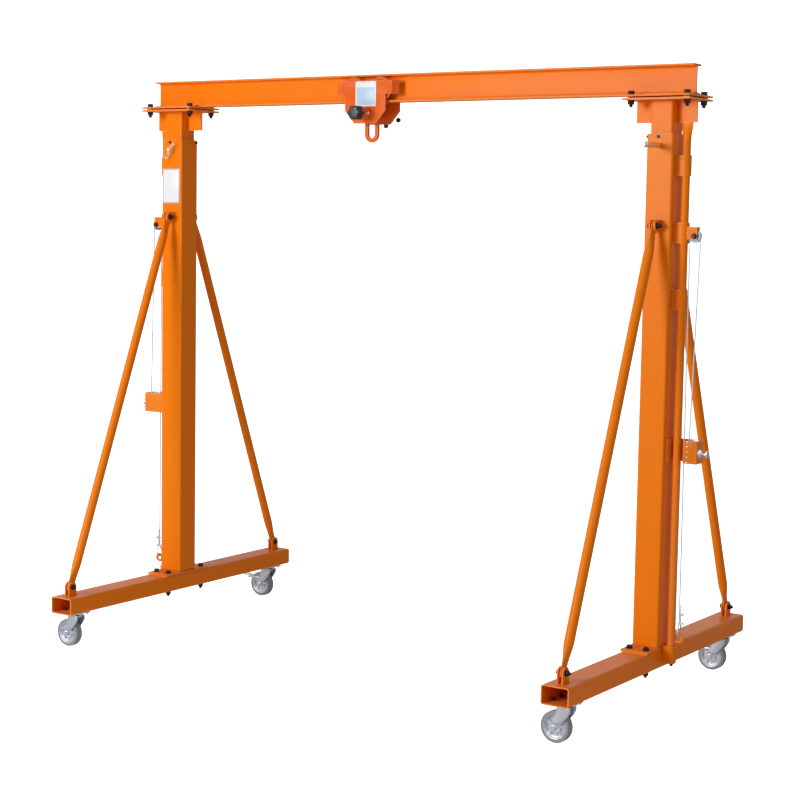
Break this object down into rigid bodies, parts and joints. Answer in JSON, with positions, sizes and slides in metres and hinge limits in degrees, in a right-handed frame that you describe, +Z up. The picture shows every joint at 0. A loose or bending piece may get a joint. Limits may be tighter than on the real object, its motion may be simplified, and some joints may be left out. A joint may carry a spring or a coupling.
{
  "type": "gantry crane",
  "caption": "Orange portable gantry crane with telescopic legs, hand winches, swivel casters and a push trolley on an I-beam.",
  "frame": {"origin": "middle of the crane's footprint, on the floor under the caster wheels", "axes": "+X along the beam, +Y along the base beams, away from the lock pin handle of the right leg, +Z up"},
  "size_m": [3.118, 1.67, 2.696],
  "materials": {
    "orange_paint": "gloss enamel",
    "trolley_paint": "gloss enamel",
    "zinc_steel": "bright zinc",
    "wire_rope": "galvanised wire",
    "chrome_pin": "polished",
    "black_plastic": "moulded",
    "caster_wheel": "cast, satin"
  },
  "bodies": {
    "frame": {"left_base_beam": "orange_paint", "left_outer_column": "orange_paint", "left_tube_guides": "orange_paint", "left_brace_near": "orange_paint", "left_brace_far": "orange_paint", "left_winch_frame": "orange_paint", "left_winch_shaft": "zinc_steel", "left_hoist_rope": "wire_rope", "left_lock_pin": "chrome_pin", "left_near_caster_plate": "zinc_steel", "left_far_caster_plate": "zinc_steel", "right_base_beam": "orange_paint", "right_outer_column": "orange_paint", "right_tube_guides": "orange_paint", "right_brace_near": "orange_paint", "right_brace_far": "orange_paint", "right_winch_frame": "orange_paint", "right_winch_shaft": "zinc_steel", "right_hoist_rope": "wire_rope", "right_lock_pin": "chrome_pin", "right_near_caster_plate": "zinc_steel", "right_far_caster_plate": "zinc_steel"},
    "lifting_frame": {"left_inner_post": "orange_paint", "left_lift_tube": "orange_paint", "left_rope_eye": "wire_rope", "left_rope_run": "wire_rope", "right_inner_post": "orange_paint", "right_lift_tube": "orange_paint", "right_rope_eye": "wire_rope", "right_rope_run": "wire_rope", "i_beam": "orange_paint"},
    "left_sheave": {"left_sheave": "zinc_steel"},
    "left_drum": {"left_winch_drum": "zinc_steel"},
    "right_sheave": {"right_sheave": "zinc_steel"},
    "right_drum": {"right_winch_drum": "zinc_steel"},
    "trolley": {"trolley_near_plate": "trolley_paint", "trolley_far_plate": "trolley_paint", "trolley_cross_rod": "trolley_paint", "trolley_knob": "black_plastic"},
    "trolley_wheel_near_left": {"trolley_wheel_near_left": "trolley_paint"},
    "trolley_wheel_near_right": {"trolley_wheel_near_right": "trolley_paint"},
    "trolley_wheel_far_left": {"trolley_wheel_far_left": "trolley_paint"},
    "trolley_wheel_far_right": {"trolley_wheel_far_right": "trolley_paint"},
    "load_link": {"load_link": "trolley_paint"},
    "left_near_fork": {"left_near_caster_fork": "zinc_steel"},
    "left_near_wheel": {"left_near_caster_wheel": "caster_wheel"},
    "left_far_fork": {"left_far_caster_fork": "zinc_steel"},
    "left_far_wheel": {"left_far_caster_wheel": "caster_wheel"},
    "right_near_fork": {"right_near_caster_fork": "zinc_steel"},
    "right_near_wheel": {"right_near_caster_wheel": "caster_wheel"},
    "right_far_fork": {"right_far_caster_fork": "zinc_steel"},
    "right_far_wheel": {"right_far_caster_wheel": "caster_wheel"}
  },
  "joints": [
    {"name": "lift", "type": "slide", "parent": "frame", "child": "lifting_frame", "axis": [0, 0, 1], "range_m": [0, 0.48], "deforming": ["left_rope_run", "right_rope_run"]},
    {"name": "left_sheave_spin", "type": "hinge", "parent": "frame", "child": "left_sheave", "pos_m": [-1.465, 0, 1.994], "axis": [0, -1, 0], "continuous": true},
    {"name": "left_drum_spin", "type": "hinge", "parent": "frame", "child": "left_drum", "pos_m": [-1.487, 0, 1.125], "axis": [0, -1, 0], "continuous": true},
    {"name": "right_sheave_spin", "type": "hinge", "parent": "frame", "child": "right_sheave", "pos_m": [1.465, 0, 1.994], "axis": [0, 1, 0], "continuous": true},
    {"name": "right_drum_spin", "type": "hinge", "parent": "frame", "child": "right_drum", "pos_m": [1.487, 0, 1.125], "axis": [0, 1, 0], "continuous": true},
    {"name": "trolley_travel", "type": "slide", "parent": "lifting_frame", "child": "trolley", "axis": [1, 0, 0], "range_m": [-0.82, 1.15]},
    {"name": "trolley_wheel_near_left_spin", "type": "hinge", "parent": "trolley", "child": "trolley_wheel_near_left", "pos_m": [-0.238, -0.0335, 2.6266], "axis": [0, 1, 0], "continuous": true},
    {"name": "trolley_wheel_near_right_spin", "type": "hinge", "parent": "trolley", "child": "trolley_wheel_near_right", "pos_m": [-0.092, -0.0335, 2.6266], "axis": [0, 1, 0], "continuous": true},
    {"name": "trolley_wheel_far_left_spin", "type": "hinge", "parent": "trolley", "child": "trolley_wheel_far_left", "pos_m": [-0.238, 0.0335, 2.6266], "axis": [0, 1, 0], "continuous": true},
    {"name": "trolley_wheel_far_right_spin", "type": "hinge", "parent": "trolley", "child": "trolley_wheel_far_right", "pos_m": [-0.092, 0.0335, 2.6266], "axis": [0, 1, 0], "continuous": true},
    {"name": "link_swing", "type": "hinge", "parent": "trolley", "child": "load_link", "pos_m": [-0.165, 0, 2.519], "axis": [0, 1, 0], "range_deg": [-60, 60]},
    {"name": "left_near_swivel", "type": "hinge", "parent": "frame", "child": "left_near_fork", "pos_m": [-1.32, -0.735, 0.16], "axis": [0, 0, 1], "continuous": true},
    {"name": "left_near_roll", "type": "hinge", "parent": "left_near_fork", "child": "left_near_wheel", "pos_m": [-1.362, -0.735, 0.065], "axis": [0, 1, 0], "continuous": true},
    {"name": "left_far_swivel", "type": "hinge", "parent": "frame", "child": "left_far_fork", "pos_m": [-1.32, 0.735, 0.16], "axis": [0, 0, 1], "continuous": true},
    {"name": "left_far_roll", "type": "hinge", "parent": "left_far_fork", "child": "left_far_wheel", "pos_m": [-1.362, 0.735, 0.065], "axis": [0, 1, 0], "continuous": true},
    {"name": "right_near_swivel", "type": "hinge", "parent": "frame", "child": "right_near_fork", "pos_m": [1.32, -0.735, 0.16], "axis": [0, 0, 1], "continuous": true},
    {"name": "right_near_roll", "type": "hinge", "parent": "right_near_fork", "child": "right_near_wheel", "pos_m": [1.278, -0.735, 0.065], "axis": [0, 1, 0], "continuous": true},
    {"name": "right_far_swivel", "type": "hinge", "parent": "frame", "child": "right_far_fork", "pos_m": [1.32, 0.735, 0.16], "axis": [0, 0, 1], "continuous": true},
    {"name": "right_far_roll", "type": "hinge", "parent": "right_far_fork", "child": "right_far_wheel", "pos_m": [1.278, 0.735, 0.065], "axis": [0, 1, 0], "continuous": true}
  ],
  "couplings": [
    {"joint": "left_sheave_spin", "follows": "lift", "rad_per_m": 41.667},
    {"joint": "left_drum_spin", "follows": "lift", "rad_per_m": 49.261},
    {"joint": "right_sheave_spin", "follows": "lift", "rad_per_m": 41.667},
    {"joint": "right_drum_spin", "follows": "lift", "rad_per_m": -49.261},
    {"joint": "trolley_wheel_near_left_spin", "follows": "trolley_travel", "rad_per_m": 20.833},
    {"joint": "trolley_wheel_near_right_spin", "follows": "trolley_travel", "rad_per_m": 20.833},
    {"joint": "trolley_wheel_far_left_spin", "follows": "trolley_travel", "rad_per_m": 20.833},
    {"joint": "trolley_wheel_far_right_spin", "follows": "trolley_travel", "rad_per_m": 20.833}
  ]
}
